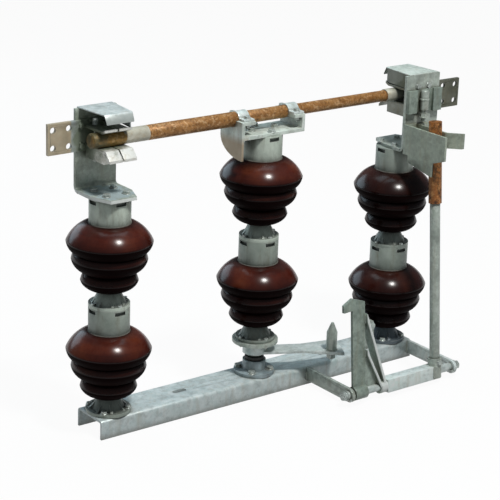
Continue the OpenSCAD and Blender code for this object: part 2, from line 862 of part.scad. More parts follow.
// Upright lug with a round eye, folded from a foot on the channel
module earth_lug() {
    eye_z = lug_h - lug_w / 2;
    color("silver") translate([lug_x, -lug_y, 0]) difference() {
        intersection() {
            rotate([90, 0, 90]) linear_extrude(lug_w + 2 * cut, center = true)
                polygon([
                    [0, 0],
                    [lug_foot, 0],
                    [lug_foot, lug_t],
                    [lug_t, lug_t],
                    [lug_t, lug_h + cut],
                    [0, lug_h + cut]
                ]);
            translate([0, lug_foot + cut, 0]) rotate([90, 0, 0]) linear_extrude(lug_foot + 2 * cut) {
                translate([-lug_w / 2, -cut]) square([lug_w, eye_z + cut]);
                translate([0, eye_z]) circle(lug_w / 2);
            }
        }
        translate([0, -cut, eye_z]) rotate([-90, 0, 0]) cylinder(r = lug_hole_r, h = lug_t + 2 * cut);
    }
}

// Moves a shape drawn about the X axis to the earthing shaft, leaning as the closed blade does
module on_earth_shaft() {
    translate([0, -earth_y, earth_z]) rotate([-earth_lean, 0, 0]) children();
}

module earth_shaft() {
    color("gainsboro") on_earth_shaft()
        rod_x(rod_r, arm_left_x - arm_t / 2 - rod_end, arm_right_x + arm_t / 2 + rod_end);
}

// Square bar bored for the shaft, from the brace's hub to the blade's foot
module earth_torque_bar() {
    to_x = earth_x - socket_r;
    color("whitesmoke") on_earth_shaft() difference() {
        translate([torque_x, -torque_a / 2, -torque_a / 2]) cube([to_x - torque_x, torque_a, torque_a]);
        rod_x(rod_r + run_clear, torque_x - cut, to_x + cut);
    }
}

// Upright lever with a hooked top, on a hub round the shaft
module earth_lever() {
    color("darkgray") on_earth_shaft() difference() {
        union() {
            rod_x(lever_hub_r, hook_x, hook_x + hook_w);
            upright(hook_t)
                polygon([
                    [hook_x, 0],
                    [hook_x, hook_h - nose_h],
                    [hook_x - nose_l, hook_h - nose_h * (1 + nose_drop_share) + nose_h / 2],
                    [hook_x - nose_l, hook_h - nose_h * nose_slope_share],
                    [hook_x, hook_h],
                    [hook_x + hook_w, hook_h - nose_h * nose_slope_share],
                    [hook_x + hook_w, 0]
                ]);
        }
        rod_x(rod_r + run_clear, hook_x - cut, hook_x + hook_w + cut);
    }
}

// Brace of two flat legs and a web, from a second hub up to the side of the hooked lever
module earth_brace() {
    end_w = hook_w * brace_end_share;
    low = hook_h * brace_low_share;
    low_x = brace_x - end_w + brace_t;
    color("darkgray") on_earth_shaft() difference() {
        union() {
            rod_x(lever_hub_r, brace_x - end_w, brace_x);
            brace_leg(hook_h * brace_high_share, brace_x);
            brace_leg(low, low_x);
            upright(hook_t * web_share) polygon([[lever_side, 0], [lever_side, low - brace_t], [low_x - brace_t / 2, 0]]);
        }
        rod_x(rod_r + run_clear, lever_side - cut, brace_x + cut);
    }
}

// One leg of the brace, from the lever's side at height top down to the shaft's axis
module brace_leg(top, foot_x) {
    drop = brace_t * top / (foot_x - lever_side);
    upright(brace_d)
        polygon([
            [lever_side, top],
            [foot_x, 0],
            [foot_x - brace_t, 0],
            [lever_side, top - drop]
        ]);
}

// Round socket on the shaft that holds the blade's tube, with a flat cheek against the torque bar
module earth_foot() {
    color("darkgray") on_earth_shaft() translate([earth_x, 0, 0]) difference() {
        union() {
            translate([0, 0, -torque_a / 2]) cylinder(r = socket_r, h = torque_a / 2 + socket_h);
            translate([-socket_r, -torque_a / 2, -torque_a / 2])
                cube([socket_r, torque_a, torque_a]);
        }
        rod_x(rod_r + run_clear, -socket_r - cut, socket_r + cut);
        translate([0, 0, torque_a / 2]) cylinder(r = earth_tube_r + seat_clear, h = socket_h);
    }
}

module earth_tube() {
    color("lightgray") on_earth_shaft() translate([earth_x, 0, torque_a / 2]) difference() {
        cylinder(r = earth_tube_r, h = copper_start - torque_a / 2);
        translate([0, 0, -cut]) cylinder(r = earth_tube_r - earth_wall, h = copper_start);
    }
}

// Copper tube with a closed top
module earth_blade() {
    color("peru") on_earth_shaft() translate([earth_x, 0, copper_start]) difference() {
        cylinder(r = copper_r, h = copper_l);
        translate([0, 0, -cut]) cylinder(r = copper_r - tube_wall, h = copper_l + cut - tube_wall);
    }
}

// Moves a unit drawn at the origin to its place in a stack
module unit_at(x, base_z, level) {
    translate([x, 0, base_z + level * unit_h]) children();
}

base_channel();
rotor_bearing();
shaft_seal();
earth_lug();
unit_at(left_x, 0, 0) fittings(foot_r);  // left_lower_fittings
unit_at(left_x, 0, 0) porcelain();  // left_lower_porcelain
unit_at(left_x, 0, 1) fittings(flange_r);  // left_upper_fittings
unit_at(left_x, 0, 1) porcelain();  // left_upper_porcelain
unit_at(post_spacing, 0, 0) fittings(foot_r);  // right_lower_fittings
unit_at(post_spacing, 0, 0) porcelain();  // right_lower_porcelain
unit_at(post_spacing, 0, 1) fittings(flange_r);  // right_upper_fittings
unit_at(post_spacing, 0, 1) porcelain();  // right_upper_porcelain
at_left() bracket();  // left_bracket
at_right() bracket();  // right_bracket
at_left() hood();  // left_hood
at_right() hood();  // right_hood
at_left() jaw(thick_r);  // left_jaw
at_right() jaw(sleeve_r);  // right_jaw
at_left() terminal();  // left_terminal
at_right() terminal();  // right_terminal
earth_block();
earth_finger_left();
earth_finger_right();
earth_arm(arm_left_x);  // earth_arm_left
earth_arm(arm_right_x);  // earth_arm_right
rotor_shaft();
drive_lever();
drive_pin();
unit_at(0, rotor_rise, 0) fittings(flange_r);  // centre_lower_fittings
unit_at(0, rotor_rise, 0) porcelain();  // centre_lower_porcelain
unit_at(0, rotor_rise, 1) fittings(flange_r);  // centre_upper_fittings
unit_at(0, rotor_rise, 1) porcelain();  // centre_upper_porcelain
blade_cradle();
blade_straps();
blade_thick_tube();
blade_thin_tube();
blade_tips();
earth_shaft();
earth_torque_bar();
earth_lever();
earth_brace();
earth_foot();
earth_tube();
earth_blade();
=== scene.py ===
"""Looks of one pole of a disconnect switch: materials, fasteners, springs and welds on the CAD frame."""

import json
import math

import bmesh
import bpy
from mathutils import Matrix, Vector


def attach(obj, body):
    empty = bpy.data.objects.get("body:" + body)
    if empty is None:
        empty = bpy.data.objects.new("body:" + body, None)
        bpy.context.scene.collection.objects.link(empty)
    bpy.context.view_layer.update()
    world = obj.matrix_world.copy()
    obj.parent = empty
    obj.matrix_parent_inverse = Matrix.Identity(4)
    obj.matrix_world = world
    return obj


MM = 0.001
UP, DOWN = Vector((0, 0, 1)), Vector((0, 0, -1))
XP, XN = Vector((1, 0, 0)), Vector((-1, 0, 0))
YP, YN = Vector((0, 1, 0)), Vector((0, -1, 0))

# Places and sizes repeated from the CAD model, in millimetres
FLOOR_Z = -46.0
# Stacks
POST_X = 417.0
UNIT_H = 254.0
STACK_H = 508.0
RISE = 88.0
FLANGE_T = 8.0
# Turning stack
BEARING_TOP = 9.0
HUB_PLATE_Z = 80.0
TURN_TOP = 596.0
CRADLE_T = 8.0
STRAP_X = (-67.9, 76.0)
STRAP_T = 5.0
BLADE_Z = 638.0
LEVER_Z, LEVER_TOP = 51.0, 58.0
LEVER_TURN = math.radians(-27)
PIN_OUT, PIN_SIDE = 184.0, 23.0
# Contacts: the pad and the bracket lie between the inner and the outer face
RIGHT_X = 435.0
BRACKET_T = 8.0
INNER_FACE_Y, OUTER_FACE_Y = 50.0, 66.0
FINGER_T = 6.0
BACKING_T = 26.0
# Earthing switch
EARTH_Y, EARTH_Z = -207.0, -17.0
EARTH_LEAN = math.radians(5.4)
EARTH_X = 404.0
EARTH_FACE_Y = -72.0
ARM_X = (128.0, 458.0)
ARM_T = 8.0
SHAFT_ENDS = (118.0, 468.0)
LUG_X, LUG_Y, LUG_EYE_Z, LUG_T = 335.0, -38.0, 61.0, 8.0

# Camera fitted to the photo: focal length and frame in pixels, place in millimetres
FOCAL_PX, FRAME_PX = 1737.6, 500
SENSOR_MM = 36
CLIP_END_M = 200
CAMERA_AT = Vector((-2403.0, -3049.6, 1624.2))
CAMERA_RIGHT = Vector((0.795183, -0.605396, 0.034341))
CAMERA_UP = Vector((0.168706, 0.275282, 0.946445))

# Round patches: centre, inner and outer radius in metres
# Black-green dirt with painted shade in the left jaw's mouth
JAW_GRIME_AND_SHADE = ((-0.432, 0.030, 0.636), 0.042, 0.072)
# Dark dirt with painted shade on the blade's tip inside the left jaw
TIP_GRIME_AND_SHADE = ((-0.458, 0.0, 0.636), 0.012, 0.040)
# Painted shade: the top of the left foot turns blue-grey, as lit by the sky alone
FOOT_SHADE = ((-0.420, 0.0, 0.516), 0.046, 0.062)
# Places of another colour: colour, share, then planes. A plane is a point, the way past it, and how far past it
# the colour starts and is full, in metres
# Painted highlight: the front faces of the brace's bars are made near white, as if catching the light
BRACE_LIT_EDGE = (
    (0.80, 0.84, 0.82),
    1.0,
    ((0, EARTH_Y * MM, EARTH_Z * MM), (0, -math.cos(EARTH_LEAN), math.sin(EARTH_LEAN)), 0.0105, 0.013),
)
# Painted shade with some dirt: the right hood's left part under its roof goes dark olive
HOOD_SHADE_AND_GRIME = (
    (0.085, 0.105, 0.070),
    0.9,
    ((0.4040, 0, 0), (-1, 0, 0), 0.0, 0.003),
    ((0, 0, 0.6985), (0, 0, -1), 0, 0.0012),
)
LIP_SHADE = ((0.46, 0.50, 0.48), 0.85, ((0, -0.0305, 0), (0, -1, 0), 0, 0.002))
# Painted reflection: the cradle's left end plate below the tray takes the warm colour of the copper
CRADLE_COPPER_REFLECTION = (
    (0.46, 0.34, 0.21),
    0.85,
    ((-0.070, 0, 0), (-1, 0, 0), 0, 0.004),
    ((0, 0, 0.606), (0, 0, -1), 0, 0.020),
)
# Painted highlight: the left foot's sides below its top are made near white, as if sunlit
FOOT_LIT_EDGE = ((0.86, 0.90, 0.88), 0.85, ((0, 0, 0.5158), (0, 0, -1), 0, 0.0012))
# Painted shade: the foot of the right stack's lower fittings goes dark blue
RIGHT_FOOT_SHADE = ((0.12, 0.15, 0.17), 1.0, ((0, 0, 0.050), (0, 0, -1), 0, 0.012))
# Along X in metres: where the left tip's tin begins, where the right tip's tin turns darker, where the left pad's tan
# ends
TIN_FROM = -0.385
RIGHT_TIN_DARKENS = (0.378, 0.400)
PAD_TAN_TO = -0.486

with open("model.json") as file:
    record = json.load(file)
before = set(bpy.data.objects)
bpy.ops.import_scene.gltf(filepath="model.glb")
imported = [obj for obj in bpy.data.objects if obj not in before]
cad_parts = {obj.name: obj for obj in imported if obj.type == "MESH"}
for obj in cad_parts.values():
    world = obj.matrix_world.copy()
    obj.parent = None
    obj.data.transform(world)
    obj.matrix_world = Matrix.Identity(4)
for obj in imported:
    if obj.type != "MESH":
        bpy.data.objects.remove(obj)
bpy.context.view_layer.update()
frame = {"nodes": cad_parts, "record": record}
nodes = frame["nodes"]


# Materials: noise scales are per metre, distances in metres, and colours linear


def times(colour, factor, most=None):
    """A colour times one factor or three, cut off at the most it may be."""
    factors = factor if isinstance(factor, tuple) else (factor,) * 3
    scaled = tuple(f * c for f, c in zip(factors, colour))
    return scaled if most is None else tuple(min(most, c) for c in scaled)


class Graph:
    """A node material under construction, with short ways to add and join nodes."""

    def __init__(self, name):
        self.mat = bpy.data.materials.new(name)
        self.mat.use_nodes = True
        self.tree = self.mat.node_tree
        self.tree.nodes.clear()
        self.out = self.tree.nodes.new("ShaderNodeOutputMaterial")
        self.bsdf = self.tree.nodes.new("ShaderNodeBsdfPrincipled")
        self.tree.links.new(self.bsdf.outputs[0], self.out.inputs["Surface"])
        self.coord = self.tree.nodes.new("ShaderNodeTexCoord").outputs["Object"]

    def node(self, kind, props=None, **inputs):
        n = self.tree.nodes.new("ShaderNode" + kind)
        for key, value in (props or {}).items():
            setattr(n, key, value)
        for key, value in inputs.items():
            self.put(n.inputs[key.replace("_", " ")], value)
        return n

    def put(self, socket, value):
        if isinstance(value, bpy.types.NodeSocket):
            self.tree.links.new(value, socket)
        else:
            socket.default_value = value

    def scaled(self, scale):
        return self.node("Mapping", Vector=self.coord, Scale=scale).outputs[0]

    def shifted(self, by):
        return self.node("Mapping", Vector=self.coord, Location=by).outputs[0]

    def noise(self, scale, detail=4.0, rough=0.55, vector=None):
        n = self.node("TexNoise", Vector=vector or self.coord, Scale=scale, Detail=detail, Roughness=rough)
        return n.outputs["Fac"]

    def flakes(self, scale):
        """A random value for each cell of a crystal pattern."""
        cells = self.node("TexVoronoi", {"feature": "F1"}, Vector=self.coord, Scale=scale).outputs["Color"]
        return self.node("SeparateColor", Color=cells).outputs[0]

    def ramp(self, value, stops):
        n = self.node("ValToRGB", Fac=value)
        band = n.color_ramp
        while len(band.elements) < len(stops):
            band.elements.new(0.5)
        for element, (at, colour) in zip(band.elements, stops):
            element.position = at
            element.color = (*colour, 1)
        return n.outputs[0]

    def span(self, value, low, high, to_low=0.0, to_high=1.0):
        n = self.node("MapRange", {"clamp": True}, Value=value)
        for key, number in zip(("From Min", "From Max", "To Min", "To Max"), (low, high, to_low, to_high)):
            n.inputs[key].default_value = number
        return n.outputs[0]

    def math(self, op, a, b, clamp=True):
        n = self.node("Math", {"operation": op, "use_clamp": clamp})
        self.put(n.inputs[0], a)
        self.put(n.inputs[1], b)
        return n.outputs[0]

    def product(self, a, b):
        return self.math("MULTIPLY", a, b)

    def blend(self, a, share_a, b, share_b):
        """Two values added, each times its share."""
        return self.math("ADD", self.product(a, share_a), self.product(b, share_b))

    def mix(self, fac, a, b, blend="MIX"):
        n = self.node("Mix", {"data_type": "RGBA", "blend_type": blend})
        self.put(n.inputs[0], fac)
        for socket, value in ((n.inputs[6], a), (n.inputs[7], b)):
            self.put(socket, (*value, 1) if isinstance(value, tuple) else value)
        return n.outputs[2]

    def edges(self, radius):
        """1 along sharp edges, 0 on flat faces."""
        soft = self.node("Bevel", {"samples": 4}, Radius=radius).outputs[0]
        plain = self.node("NewGeometry").outputs["Normal"]
        return self.span(self.dot(soft, plain), 0.99, 0.86)

    def dot(self, a, b):
        n = self.node("VectorMath", {"operation": "DOT_PRODUCT"})
        self.put(n.inputs[0], a)
        self.put(n.inputs[1], b)
        return n.outputs["Value"]

    def corners(self, distance):
        """1 in the open, toward 0 in creases."""
        n = self.node("AmbientOcclusion", {"samples": 6}, Distance=distance)
        return n.outputs["AO"]

    def facing_up(self):
        normal = self.node("NewGeometry").outputs["Normal"]
        return self.node("SeparateXYZ", Vector=normal).outputs["Z"]

    def along_x(self):
        return self.node("SeparateXYZ", Vector=self.coord).outputs["X"]

    def near(self, centre, inner, outer):
        """1 within the inner radius of a point of the object, 0 beyond the outer one, with a ragged edge."""
        gap = self.node("VectorMath", {"operation": "DISTANCE"})
        self.put(gap.inputs[0], self.coord)
        self.put(gap.inputs[1], centre)
        ragged = self.span(self.noise(45, 5, 0.65), 0.3, 0.7, -0.02, 0.02)
        return self.span(self.math("ADD", gap.outputs["Value"], ragged, clamp=False), inner, outer, 1, 0)

    def ahead_of(self, point, way, low, high):
        """0 to 1 as the distance past a point along a direction goes from low to high."""
        gap = self.node("VectorMath", {"operation": "SUBTRACT"})
        self.put(gap.inputs[0], self.coord)
        self.put(gap.inputs[1], point)
        return self.span(self.dot(gap.outputs[0], way), low, high)

    def banded(self, base, band):
        """A base colour with another one past the band's planes."""
        colour, share, *planes = band
        for plane in planes:
            share = self.product(self.ahead_of(*plane), share)
        return self.mix(share, base, colour)

    def grimed_and_shaded(self, base, patch, share):
        """A base colour under black-green dirt and painted shade."""
        return self.mix(self.product(self.near(*patch), share), base, (0.190, 0.225, 0.160))

    def bump(self, height, strength, distance):
        return self.node("Bump", Height=height, Strength=strength, Distance=distance).outputs[0]

    def finish(self, **inputs):
        for key, value in inputs.items():
            self.put(self.bsdf.inputs[key.replace("_", " ")], value)
        return self.mat


def galvanised(name, light, dark, stain, spangle, metallic, rough, grime_and_shade=None, band=None, shade=None):
    """Hot-dip zinc: spangled, clouded, with olive stains, olive stain and painted shade in creases, and bright edges.
    """
    g = Graph(name)
    cloud = g.noise(13, 6, 0.62)
    base = g.mix(g.span(cloud, 0.32, 0.68), light, dark)
    flake = g.flakes(spangle)
    base = g.mix(0.5, base, g.ramp(flake, ((0, (0.34, 0.34, 0.34)), (1, (0.66, 0.66, 0.66)))), "OVERLAY")
    blotch = g.noise(42, 6, 0.7)
    base = g.mix(g.span(blotch, 0.49, 0.65, 0, 0.6), base, times(dark, 0.6))
    base = g.mix(g.span(blotch, 0.44, 0.30, 0, 0.65), base, times(light, 1.25, most=0.95))
    streak = g.noise(1, 5, 0.6, g.scaled((75, 75, 9)))
    base = g.mix(g.span(streak, 0.5, 0.8, 0, 0.6), base, stain)
    # Olive stain with painted shade: creases go dark olive
    crease = g.span(g.corners(0.022), 0.35, 0.85, 0.75, 0)
    base = g.mix(crease, base, times(stain, 0.45))
    worn = g.product(g.edges(0.0014), g.span(g.noise(55, 3), 0.3, 0.6, 0.25, 0.8))
    base = g.mix(worn, base, times(light, 1.55, most=1))
    # Black-green dirt with painted shade near the left jaw's mouth, where asked for
    if grime_and_shade:
        base = g.grimed_and_shaded(base, grime_and_shade, 0.9)
    # Painted shade: the patch's top faces turn blue-grey, as lit by the sky alone
    if shade:
        painted_sky_shade = g.product(g.near(*shade), g.span(g.facing_up(), 0.8, 0.95, 0, 0.7))
        base = g.mix(painted_sky_shade, base, (0.46, 0.58, 0.63))
    if band:
        base = g.banded(base, band)
    grain = g.noise(420, 3, 0.6)
    return g.finish(
        Base_Color=base,
        Metallic=metallic,
        Roughness=g.span(g.blend(flake, 0.5, cloud, 0.5), 0.2, 0.8, rough - 0.1, rough + 0.12),
        Normal=g.bump(g.blend(flake, 0.4, grain, 0.5), 0.16, 0.0006),
    )


def cast_zinc(name, light, dark, band=None):
    """Galvanised casting: a rough skin with soft dark blotches and bright ridges, and painted shade in hollows and on
    the bells under the sheds.
    """
    g = Graph(name)
    cloud = g.noise(21, 7, 0.66)
    base = g.mix(g.span(cloud, 0.3, 0.7), light, dark)
    streak = g.noise(1, 5, 0.6, g.scaled((60, 60, 14)))
    base = g.mix(g.span(streak, 0.5, 0.78, 0, 0.75), base, (0.19, 0.175, 0.12))
    # Painted shade: hollows and the bells under the sheds go nearly black
    base = g.mix(g.span(g.corners(0.05), 0.35, 0.92, 0.85, 0), base, (0.06, 0.065, 0.06))
    if band:
        base = g.banded(base, band)
    worn = g.product(g.edges(0.0016), g.span(g.noise(48, 3), 0.3, 0.6, 0.2, 0.8))
    base = g.mix(worn, base, (0.66, 0.69, 0.64))
    pits = g.blend(g.noise(260, 5, 0.7), 0.6, g.noise(60, 3), 0.4)
    return g.finish(
        Base_Color=base,
        Metallic=0.15,
        Roughness=g.span(cloud, 0.3, 0.7, 0.36, 0.56),
        Normal=g.bump(pits, 0.3, 0.0009),
    )


def glaze(name, depth):
    """Dark maroon porcelain glaze: clear gloss over clouded colour, painted shade that makes the undersides, the gaps
    and the lower sheds nearly black, and a little dust on top.
    """
    g = Graph(name)
    cloud = g.noise(11, 5, 0.55)
    tones = ((0.30, (0.030, 0.0050, 0.0040)), (0.52, (0.090, 0.0140, 0.0070)), (0.76, (0.200, 0.0450, 0.0180)))
    base = g.ramp(cloud, [(at, times(tone, depth)) for at, tone in tones])
    # Painted shade: faces turned downward go nearly black
    base = g.mix(g.span(g.facing_up(), 0.12, 0.7), (0.004, 0.0010, 0.0009), base)
    # Painted shade: the gaps between sheds and the lower sheds go nearly black
    out_of_shade = g.span(g.corners(0.11), 0.6, 0.92)
    base = g.mix(out_of_shade, (0.004, 0.0010, 0.0010), base)
    turned = g.noise(1, 4, 0.5, g.scaled((6, 6, 130)))
    base = g.mix(g.span(turned, 0.5, 0.75, 0, 0.35), base, (0.018, 0.004, 0.004))
    dust = g.product(g.span(g.facing_up(), 0.45, 0.95), g.span(g.noise(30, 6, 0.7), 0.42, 0.75, 0, 0.1))
    base = g.mix(dust, base, (0.21, 0.18, 0.16))
    gloss = g.product(g.span(g.facing_up(), -0.05, 0.3, 0, 0.6), g.span(out_of_shade, 0, 0.6, 0.06, 1))
    peel = g.blend(g.noise(85, 2), 0.6, turned, 0.4)
    return g.finish(
        Base_Color=base,
        Roughness=0.6,
        Specular_IOR_Level=0.02,
        Coat_Weight=gloss,
        Coat_Roughness=0.21,
        Normal=g.bump(peel, 0.05, 0.0008),
    )


def copper_skin(g, tint=(1.0, 1.0, 1.0), speckle=(165, 0.50, 0.88)):
    """Colour, roughness and relief of weathered drawn copper: tan skin, dark speckle, pale rubs.

    The speckle is its noise scale, the noise value where it starts, and its share.
    """
    cloud = g.noise(26, 6, 0.65)
    tones = ((0.3, (0.26, 0.120, 0.034)), (0.5, (0.40, 0.200, 0.066)), (0.72, (0.50, 0.280, 0.105)))
    base = g.ramp(cloud, [(at, times(tone, tint)) for at, tone in tones])
    scale, start, share = speckle
    speck = g.noise(scale, 5, 0.75)
    base = g.mix(g.span(speck, start, start + 0.11, 0, share), base, (0.055, 0.020, 0.005))
    pale = g.noise(120, 4, 0.7, g.shifted((3.1, 1.7, 0.4)))
    base = g.mix(g.span(pale, 0.52, 0.64, 0, 0.65), base, times((0.78, 0.56, 0.34), tint))
    base = g.mix(g.span(g.noise(7, 3), 0.45, 0.7, 0, 0.4), base, (0.22, 0.12, 0.04))
    relief = g.bump(g.blend(speck, 0.5, cloud, 0.5), 0.2, 0.0006)
    return base, g.span(speck, 0.35, 0.65, 0.42, 0.6), relief


def copper(name, tint, speckle):
    g = Graph(name)
    base, rough, relief = copper_skin(g, tint, speckle)
    return g.finish(Base_Color=base, Metallic=0.25, Roughness=rough, Normal=relief)


def tin_skin(g, light, dark, stain, grime_and_shade=None):
    """Colour of tinned copper: satin, with stains where the tin has worn, and dirt with painted shade in the creases.
    """
    cloud = g.noise(24, 6, 0.65)
    base = g.mix(g.span(cloud, 0.35, 0.65), light, dark)
    base = g.mix(g.span(g.noise(75, 5, 0.7), 0.5, 0.72, 0, 0.7), base, stain)
    # Dirt with painted shade: creases go nearly black
    base = g.mix(g.span(g.corners(0.02), 0.3, 0.85, 0.8, 0), base, (0.045, 0.045, 0.03))
    base = g.mix(g.product(g.edges(0.0012), 0.5), base, (0.82, 0.82, 0.78))
    # Black-green dirt with painted shade near the left jaw's mouth, where asked for
    return g.grimed_and_shaded(base, grime_and_shade, 0.92) if grime_and_shade else base


def tinned(name, light, dark, stain, grime_and_shade=None):
    g = Graph(name)
    scratch = g.noise(1, 3, 0.6, g.scaled((40, 600, 600)))
    return g.finish(
        Base_Color=tin_skin(g, light, dark, stain, grime_and_shade),
        Metallic=0.3,
        Roughness=g.span(g.noise(24, 6, 0.65), 0.3, 0.7, 0.3, 0.5),
        Normal=g.bump(scratch, 0.1, 0.0004),
    )


def blade_tip():
    """Tinned ends of the blade, rubbed through to brown copper inside the left jaw."""
    g = Graph("blade_tip")
    brown, rough, relief = copper_skin(g)
    brown = g.mix(0.5, brown, (0.240, 0.165, 0.025))
    # Dark dirt with painted shade where the tip sits in the left jaw
    brown = g.mix(g.product(g.near(*TIP_GRIME_AND_SHADE), 0.85), brown, (0.075, 0.080, 0.045))
    tin = tin_skin(g, (0.70, 0.68, 0.58), (0.52, 0.50, 0.41), (0.42, 0.33, 0.19))
    # The right tip's tin turns darker towards its end
    tin = g.mix(g.span(g.along_x(), *RIGHT_TIN_DARKENS, 0, 0.75), tin, (0.27, 0.28, 0.23))
    ragged = g.span(g.noise(60, 4), 0.3, 0.7, -0.006, 0.006)
    along = g.math("ADD", g.along_x(), ragged, clamp=False)
    return g.finish(
        Base_Color=g.mix(g.span(along, TIN_FROM - 0.003, TIN_FROM + 0.003), brown, tin),
        Metallic=0.3,
        Roughness=rough,
        Normal=relief,
    )


def left_terminal():
    """Terminal bar: tan tinned pad, and cooler zinc from the bracket inward."""
    g = Graph("terminal_left")
    tan = tin_skin(g, (0.56, 0.48, 0.34), (0.46, 0.39, 0.27), (0.54, 0.41, 0.27))
    # The cool part has black-green dirt with painted shade near the jaw's mouth
    cool = tin_skin(g, (0.52, 0.57, 0.57), (0.36, 0.41, 0.41), (0.30, 0.30, 0.24), JAW_GRIME_AND_SHADE)
    return g.finish(
        Base_Color=g.mix(g.span(g.along_x(), PAD_TAN_TO - 0.002, PAD_TAN_TO + 0.002), tan, cool),
        Metallic=0.25,
        Roughness=g.span(g.noise(24, 6, 0.65), 0.3, 0.7, 0.34, 0.52),
        Normal=g.bump(g.noise(180, 4, 0.6), 0.12, 0.0005),
    )


def rubber():
    g = Graph("black_rubber")
    cloud = g.noise(60, 5, 0.6)
    return g.finish(
        Base_Color=g.mix(g.span(cloud, 0.3, 0.7), (0.010, 0.010, 0.010), (0.028, 0.027, 0.025)),
        Roughness=g.span(cloud, 0.3, 0.7, 0.45, 0.7),
        Normal=g.bump(g.noise(500, 3), 0.15, 0.0004),
    )


def cement():
    g = Graph("cement_line")
    cloud = g.noise(130, 6, 0.7)
    base = g.mix(g.span(cloud, 0.3, 0.7), (0.20, 0.19, 0.165), (0.09, 0.085, 0.075))
    return g.finish(Base_Color=base, Roughness=0.85, Normal=g.bump(g.noise(300, 5, 0.7), 0.5, 0.001))


# Zinc finishes: name, light tone, dark tone, stain, spangle cells per metre, metallic, roughness.
# Both kinds of bolt have one finish, and the dirt and painted shade of the ones in the left jaw's mouth are in the
# places below
BOLT_ZINC = ((0.60, 0.67, 0.63), (0.41, 0.46, 0.44), (0.30, 0.27, 0.20), 320, 0.4, 0.34)
ZINCS = {
    "channel": ("zinc_channel", (0.71, 0.80, 0.81), (0.58, 0.67, 0.67), (0.47, 0.46, 0.39), 75, 0.12, 0.42),
    "plate": ("zinc_plate", (0.54, 0.61, 0.55), (0.37, 0.42, 0.38), (0.33, 0.31, 0.24), 110, 0.18, 0.40),
    "bright": ("zinc_bright", (0.75, 0.83, 0.81), (0.62, 0.70, 0.68), (0.50, 0.48, 0.41), 150, 0.2, 0.36),
    "white": ("zinc_white", (0.89, 0.98, 0.97), (0.77, 0.88, 0.85), (0.62, 0.60, 0.52), 150, 0.1, 0.4),
    "dull": ("zinc_dull", (0.35, 0.42, 0.37), (0.23, 0.29, 0.25), (0.24, 0.23, 0.16), 130, 0.15, 0.45),
    "blue_dull": ("zinc_blue_dull", (0.39, 0.47, 0.49), (0.25, 0.32, 0.35), (0.22, 0.22, 0.18), 130, 0.15, 0.42),
    "olive": ("zinc_olive", (0.43, 0.49, 0.41), (0.32, 0.37, 0.30), (0.34, 0.30, 0.19), 110, 0.15, 0.42),
    "brace": ("zinc_brace", (0.51, 0.61, 0.54), (0.36, 0.43, 0.38), (0.26, 0.25, 0.17), 130, 0.15, 0.45),
    "cradle": ("zinc_cradle", (0.81, 0.91, 0.84), (0.62, 0.70, 0.64), (0.40, 0.38, 0.30), 110, 0.18, 0.40),
    "left_hood": ("zinc_left_hood", (0.75, 0.83, 0.83), (0.62, 0.70, 0.69), (0.50, 0.48, 0.41), 150, 0.2, 0.36),
    "right_hood": ("zinc_right_hood", (0.77, 0.87, 0.80), (0.64, 0.72, 0.66), (0.50, 0.49, 0.40), 150, 0.2, 0.36),
    "left_plate": ("zinc_left_bracket", (0.54, 0.61, 0.54), (0.37, 0.42, 0.36), (0.33, 0.31, 0.22), 110, 0.15, 0.40),
    "bolt": ("zinc_bolt", *BOLT_ZINC),
    "grimy_shaded_bolt": ("zinc_bolt_grimy", *BOLT_ZINC),
    "weld": ("zinc_weld", (0.48, 0.54, 0.49), (0.27, 0.31, 0.28), (0.24, 0.20, 0.14), 500, 0.2, 0.5),
}
# Their dirt, painted shade, painted highlights and painted reflection by place
ZINC_PLACES = {
    "brace": {"band": BRACE_LIT_EDGE},
    "cradle": {"band": CRADLE_COPPER_REFLECTION},
    "left_hood": {"band": LIP_SHADE},
    "right_hood": {"band": HOOD_SHADE_AND_GRIME},
    "left_plate": {"grime_and_shade": JAW_GRIME_AND_SHADE, "band": FOOT_LIT_EDGE, "shade": FOOT_SHADE},
    "grimy_shaded_bolt": {"grime_and_shade": JAW_GRIME_AND_SHADE},
}
CAST_TONES = ((0.43, 0.49, 0.44), (0.27, 0.32, 0.28))
MATS = {key: galvanised(*zinc, **ZINC_PLACES.get(key, {})) for key, zinc in ZINCS.items()}
MATS |= {
    "cast": cast_zinc("cast_zinc", *CAST_TONES),
    "shaded_cast": cast_zinc("cast_zinc_shaded_foot", *CAST_TONES, RIGHT_FOOT_SHADE),
    # Painted light: the upper fittings are a lighter copy of the cast zinc, as if more lit than the lower ones
    "lit_cast": cast_zinc("cast_zinc_lit", (0.72, 0.81, 0.71), (0.47, 0.55, 0.48)),
    "glaze": glaze("maroon_glaze", 0.9),
    # Painted shade: the right-hand porcelain is a darker copy of the glaze
    "shaded_glaze": glaze("maroon_glaze_shaded", 0.38),
    "copper": copper("speckled_copper", (1.06, 0.97, 0.86), (165, 0.50, 0.66)),
    "brown_copper": copper("speckled_copper_brown", (0.90, 0.62, 0.36), (80, 0.47, 0.95)),
    "tip": blade_tip(),
    "left_jaw": tinned("tinned_left_jaw", (0.92, 0.92, 0.88), (0.76, 0.77, 0.73), (0.52, 0.47, 0.36), JAW_GRIME_AND_SHADE),
    # Painted shade: the right jaw's tin is a dark olive copy of the left jaw's
    "right_jaw": tinned("tinned_right_jaw_shaded", (0.32, 0.33, 0.28), (0.19, 0.20, 0.16), (0.20, 0.17, 0.10)),
    "left_pad": left_terminal(),
    "right_pad": tinned("terminal_right", (0.15, 0.155, 0.115), (0.085, 0.09, 0.062), (0.12, 0.105, 0.06)),
    "rubber": rubber(),
    "cement": cement(),
}


# CAD nodes: rounded edges and a material each, from the node's own entry or else from its slot's

